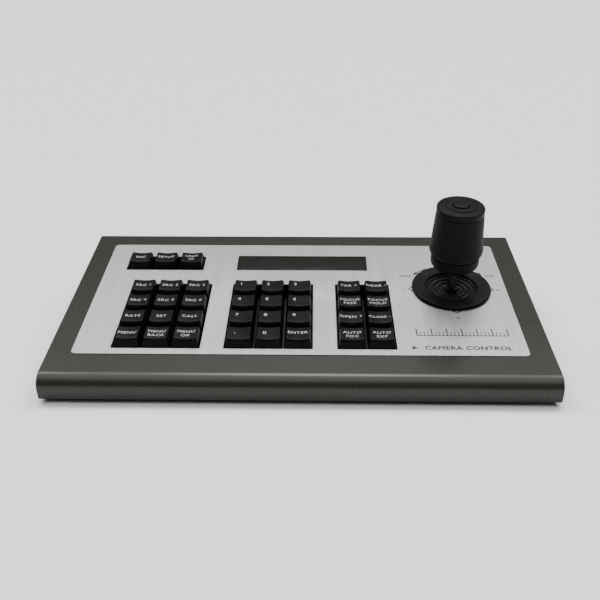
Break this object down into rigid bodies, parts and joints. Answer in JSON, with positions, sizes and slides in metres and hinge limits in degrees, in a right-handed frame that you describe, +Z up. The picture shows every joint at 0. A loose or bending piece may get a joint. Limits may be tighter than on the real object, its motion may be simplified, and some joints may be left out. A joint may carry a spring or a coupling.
{
  "type": "joystick keyboard controller",
  "caption": "Desktop camera control keyboard: sheet-metal wedge with a brushed face plate, push keys, a character display and a three-axis joystick.",
  "frame": {"origin": "on the desk, under the middle of the console's box", "axes": "+X to the user's right, +Y away from the user, +Z up; the deck rises towards +Y"},
  "size_m": [0.3224, 0.1798, 0.1037],
  "materials": {
    "cover_paint": "olive-grey metallic paint, satin",
    "face_steel": "brushed up the slope",
    "window_glass": "smoked acrylic, polished",
    "display": "display glass and board",
    "circuit_board": "green solder mask",
    "black_board": "black solder mask",
    "black_plastic": "fine satin",
    "key_plastic": "fine-grained, satin",
    "switch_plastic": "plain",
    "jack_metal": "tinned shield",
    "terminal_plastic": "plain",
    "flange_plastic": "satin",
    "screw_steel": "blackened",
    "zinc_casting": "as cast",
    "shaft_steel": "blackened, turned",
    "boot_rubber": "matte",
    "grip_rubber": "soft, matte",
    "knob_plastic": "satin",
    "foot_rubber": "matte"
  },
  "bodies": {
    "console": {"top_cover": "cover_paint", "bottom_cover": "cover_paint", "face_plate": "face_steel", "display_window": "window_glass", "display_module": "display", "keypad_board": "black_board", "key_switches": "switch_plastic", "main_board": "circuit_board", "ethernet_jack": "jack_metal", "power_jack": "black_plastic", "serial_terminal": "terminal_plastic", "power_switch_body": "black_plastic", "joystick_flange": "flange_plastic", "flange_screws": "screw_steel", "joystick_housing": "black_plastic", "sensor_board": "circuit_board", "rubber_boot": "boot_rubber", "rubber_feet": "foot_rubber", "cover_screws": "screw_steel"},
    "cradle": {"gimbal_cradle": "zinc_casting"},
    "stick": {"joystick_shaft": "shaft_steel"},
    "knob": {"knob_core": "knob_plastic", "knob_grip": "grip_rubber"},
    "top_button": {"knob_button": "knob_plastic"},
    "rocker": {"power_rocker": "black_plastic"},
    "key_source_1_body": {"key_source_1": "key_plastic"},
    "key_source_2_body": {"key_source_2": "key_plastic"},
    "key_source_3_body": {"key_source_3": "key_plastic"},
    "key_source_4_body": {"key_source_4": "key_plastic"},
    "key_source_5_body": {"key_source_5": "key_plastic"},
    "key_source_6_body": {"key_source_6": "key_plastic"},
    "key_speed_body": {"key_speed": "key_plastic"},
    "key_set_body": {"key_set": "key_plastic"},
    "key_call_body": {"key_call": "key_plastic"},
    "key_menu_body": {"key_menu": "key_plastic"},
    "key_back_body": {"key_back": "key_plastic"},
    "key_accept_body": {"key_accept": "key_plastic"},
    "key_digit_1_body": {"key_digit_1": "key_plastic"},
    "key_digit_2_body": {"key_digit_2": "key_plastic"},
    "key_digit_3_body": {"key_digit_3": "key_plastic"},
    "key_digit_4_body": {"key_digit_4": "key_plastic"},
    "key_digit_5_body": {"key_digit_5": "key_plastic"},
    "key_digit_6_body": {"key_digit_6": "key_plastic"},
    "key_digit_7_body": {"key_digit_7": "key_plastic"},
    "key_digit_8_body": {"key_digit_8": "key_plastic"},
    "key_digit_9_body": {"key_digit_9": "key_plastic"},
    "key_point_body": {"key_point": "key_plastic"},
    "key_digit_0_body": {"key_digit_0": "key_plastic"},
    "key_enter_body": {"key_enter": "key_plastic"},
    "key_focus_far_body": {"key_focus_far": "key_plastic"},
    "key_focus_near_body": {"key_focus_near": "key_plastic"},
    "key_focus_free_body": {"key_focus_free": "key_plastic"},
    "key_focus_lock_body": {"key_focus_lock": "key_plastic"},
    "key_iris_open_body": {"key_iris_open": "key_plastic"},
    "key_iris_close_body": {"key_iris_close": "key_plastic"},
    "key_auto_focus_body": {"key_auto_focus": "key_plastic"},
    "key_auto_exposure_body": {"key_auto_exposure": "key_plastic"},
    "key_escape_body": {"key_escape": "key_plastic"},
    "key_setup_body": {"key_setup": "key_plastic"},
    "key_device_body": {"key_device": "key_plastic"}
  },
  "joints": [
    {"name": "key_source_1_press", "type": "slide", "parent": "console", "child": "key_source_1_body", "axis": [0, 0.1736, -0.9848], "range_m": [0, 0.002], "stiffness_N_per_m": 200, "springref_m": -0.001},
    {"name": "key_source_2_press", "type": "slide", "parent": "console", "child": "key_source_2_body", "axis": [0, 0.1736, -0.9848], "range_m": [0, 0.002], "stiffness_N_per_m": 200, "springref_m": -0.001},
    {"name": "key_source_3_press", "type": "slide", "parent": "console", "child": "key_source_3_body", "axis": [0, 0.1736, -0.9848], "range_m": [0, 0.002], "stiffness_N_per_m": 200, "springref_m": -0.001},
    {"name": "key_source_4_press", "type": "slide", "parent": "console", "child": "key_source_4_body", "axis": [0, 0.1736, -0.9848], "range_m": [0, 0.002], "stiffness_N_per_m": 200, "springref_m": -0.001},
    {"name": "key_source_5_press", "type": "slide", "parent": "console", "child": "key_source_5_body", "axis": [0, 0.1736, -0.9848], "range_m": [0, 0.002], "stiffness_N_per_m": 200, "springref_m": -0.001},
    {"name": "key_source_6_press", "type": "slide", "parent": "console", "child": "key_source_6_body", "axis": [0, 0.1736, -0.9848], "range_m": [0, 0.002], "stiffness_N_per_m": 200, "springref_m": -0.001},
    {"name": "key_speed_press", "type": "slide", "parent": "console", "child": "key_speed_body", "axis": [0, 0.1736, -0.9848], "range_m": [0, 0.002], "stiffness_N_per_m": 200, "springref_m": -0.001},
    {"name": "key_set_press", "type": "slide", "parent": "console", "child": "key_set_body", "axis": [0, 0.1736, -0.9848], "range_m": [0, 0.002], "stiffness_N_per_m": 200, "springref_m": -0.001},
    {"name": "key_call_press", "type": "slide", "parent": "console", "child": "key_call_body", "axis": [0, 0.1736, -0.9848], "range_m": [0, 0.002], "stiffness_N_per_m": 200, "springref_m": -0.001},
    {"name": "key_menu_press", "type": "slide", "parent": "console", "child": "key_menu_body", "axis": [0, 0.1736, -0.9848], "range_m": [0, 0.002], "stiffness_N_per_m": 200, "springref_m": -0.001},
    {"name": "key_back_press", "type": "slide", "parent": "console", "child": "key_back_body", "axis": [0, 0.1736, -0.9848], "range_m": [0, 0.002], "stiffness_N_per_m": 200, "springref_m": -0.001},
    {"name": "key_accept_press", "type": "slide", "parent": "console", "child": "key_accept_body", "axis": [0, 0.1736, -0.9848], "range_m": [0, 0.002], "stiffness_N_per_m": 200, "springref_m": -0.001},
    {"name": "key_digit_1_press", "type": "slide", "parent": "console", "child": "key_digit_1_body", "axis": [0, 0.1736, -0.9848], "range_m": [0, 0.002], "stiffness_N_per_m": 200, "springref_m": -0.001},
    {"name": "key_digit_2_press", "type": "slide", "parent": "console", "child": "key_digit_2_body", "axis": [0, 0.1736, -0.9848], "range_m": [0, 0.002], "stiffness_N_per_m": 200, "springref_m": -0.001},
    {"name": "key_digit_3_press", "type": "slide", "parent": "console", "child": "key_digit_3_body", "axis": [0, 0.1736, -0.9848], "range_m": [0, 0.002], "stiffness_N_per_m": 200, "springref_m": -0.001},
    {"name": "key_digit_4_press", "type": "slide", "parent": "console", "child": "key_digit_4_body", "axis": [0, 0.1736, -0.9848], "range_m": [0, 0.002], "stiffness_N_per_m": 200, "springref_m": -0.001},
    {"name": "key_digit_5_press", "type": "slide", "parent": "console", "child": "key_digit_5_body", "axis": [0, 0.1736, -0.9848], "range_m": [0, 0.002], "stiffness_N_per_m": 200, "springref_m": -0.001},
    {"name": "key_digit_6_press", "type": "slide", "parent": "console", "child": "key_digit_6_body", "axis": [0, 0.1736, -0.9848], "range_m": [0, 0.002], "stiffness_N_per_m": 200, "springref_m": -0.001},
    {"name": "key_digit_7_press", "type": "slide", "parent": "console", "child": "key_digit_7_body", "axis": [0, 0.1736, -0.9848], "range_m": [0, 0.002], "stiffness_N_per_m": 200, "springref_m": -0.001},
    {"name": "key_digit_8_press", "type": "slide", "parent": "console", "child": "key_digit_8_body", "axis": [0, 0.1736, -0.9848], "range_m": [0, 0.002], "stiffness_N_per_m": 200, "springref_m": -0.001},
    {"name": "key_digit_9_press", "type": "slide", "parent": "console", "child": "key_digit_9_body", "axis": [0, 0.1736, -0.9848], "range_m": [0, 0.002], "stiffness_N_per_m": 200, "springref_m": -0.001},
    {"name": "key_point_press", "type": "slide", "parent": "console", "child": "key_point_body", "axis": [0, 0.1736, -0.9848], "range_m": [0, 0.002], "stiffness_N_per_m": 200, "springref_m": -0.001},
    {"name": "key_digit_0_press", "type": "slide", "parent": "console", "child": "key_digit_0_body", "axis": [0, 0.1736, -0.9848], "range_m": [0, 0.002], "stiffness_N_per_m": 200, "springref_m": -0.001},
    {"name": "key_enter_press", "type": "slide", "parent": "console", "child": "key_enter_body", "axis": [0, 0.1736, -0.9848], "range_m": [0, 0.002], "stiffness_N_per_m": 200, "springref_m": -0.001},
    {"name": "key_focus_far_press", "type": "slide", "parent": "console", "child": "key_focus_far_body", "axis": [0, 0.1736, -0.9848], "range_m": [0, 0.002], "stiffness_N_per_m": 200, "springref_m": -0.001},
    {"name": "key_focus_near_press", "type": "slide", "parent": "console", "child": "key_focus_near_body", "axis": [0, 0.1736, -0.9848], "range_m": [0, 0.002], "stiffness_N_per_m": 200, "springref_m": -0.001},
    {"name": "key_focus_free_press", "type": "slide", "parent": "console", "child": "key_focus_free_body", "axis": [0, 0.1736, -0.9848], "range_m": [0, 0.002], "stiffness_N_per_m": 200, "springref_m": -0.001},
    {"name": "key_focus_lock_press", "type": "slide", "parent": "console", "child": "key_focus_lock_body", "axis": [0, 0.1736, -0.9848], "range_m": [0, 0.002], "stiffness_N_per_m": 200, "springref_m": -0.001},
    {"name": "key_iris_open_press", "type": "slide", "parent": "console", "child": "key_iris_open_body", "axis": [0, 0.1736, -0.9848], "range_m": [0, 0.002], "stiffness_N_per_m": 200, "springref_m": -0.001},
    {"name": "key_iris_close_press", "type": "slide", "parent": "console", "child": "key_iris_close_body", "axis": [0, 0.1736, -0.9848], "range_m": [0, 0.002], "stiffness_N_per_m": 200, "springref_m": -0.001},
    {"name": "key_auto_focus_press", "type": "slide", "parent": "console", "child": "key_auto_focus_body", "axis": [0, 0.1736, -0.9848], "range_m": [0, 0.002], "stiffness_N_per_m": 200, "springref_m": -0.001},
    {"name": "key_auto_exposure_press", "type": "slide", "parent": "console", "child": "key_auto_exposure_body", "axis": [0, 0.1736, -0.9848], "range_m": [0, 0.002], "stiffness_N_per_m": 200, "springref_m": -0.001},
    {"name": "key_escape_press", "type": "slide", "parent": "console", "child": "key_escape_body", "axis": [0, 0.1736, -0.9848], "range_m": [0, 0.002], "stiffness_N_per_m": 200, "springref_m": -0.001},
    {"name": "key_setup_press", "type": "slide", "parent": "console", "child": "key_setup_body", "axis": [0, 0.1736, -0.9848], "range_m": [0, 0.002], "stiffness_N_per_m": 200, "springref_m": -0.001},
    {"name": "key_device_press", "type": "slide", "parent": "console", "child": "key_device_body", "axis": [0, 0.1736, -0.9848], "range_m": [0, 0.002], "stiffness_N_per_m": 200, "springref_m": -0.001},
    {"name": "stick_tilt", "type": "hinge", "parent": "console", "child": "cradle", "pos_m": [0.1066, 0.01255, 0.02593], "axis": [1, 0, 0], "range_deg": [-20, 20], "stiffness_Nm_per_rad": 0.4, "deforming": ["rubber_boot"]},
    {"name": "stick_pan", "type": "hinge", "parent": "cradle", "child": "stick", "pos_m": [0.1066, 0.01255, 0.02593], "axis": [0, 0.9848, 0.1736], "range_deg": [-20, 20], "stiffness_Nm_per_rad": 0.4},
    {"name": "knob_twist", "type": "hinge", "parent": "stick", "child": "knob", "pos_m": [0.1066, 0.0056, 0.06532], "axis": [0, -0.1736, 0.9848], "range_deg": [-30, 30], "stiffness_Nm_per_rad": 0.05},
    {"name": "top_button_press", "type": "slide", "parent": "knob", "child": "top_button", "axis": [0, 0.1736, -0.9848], "range_m": [0, 0.0015], "stiffness_N_per_m": 300, "springref_m": -0.001},
    {"name": "power_rocker_tip", "type": "hinge", "parent": "console", "child": "rocker", "pos_m": [0.116, 0.08239, 0.025], "axis": [-1, 0, 0], "range_deg": [0, 24]}
  ]
}
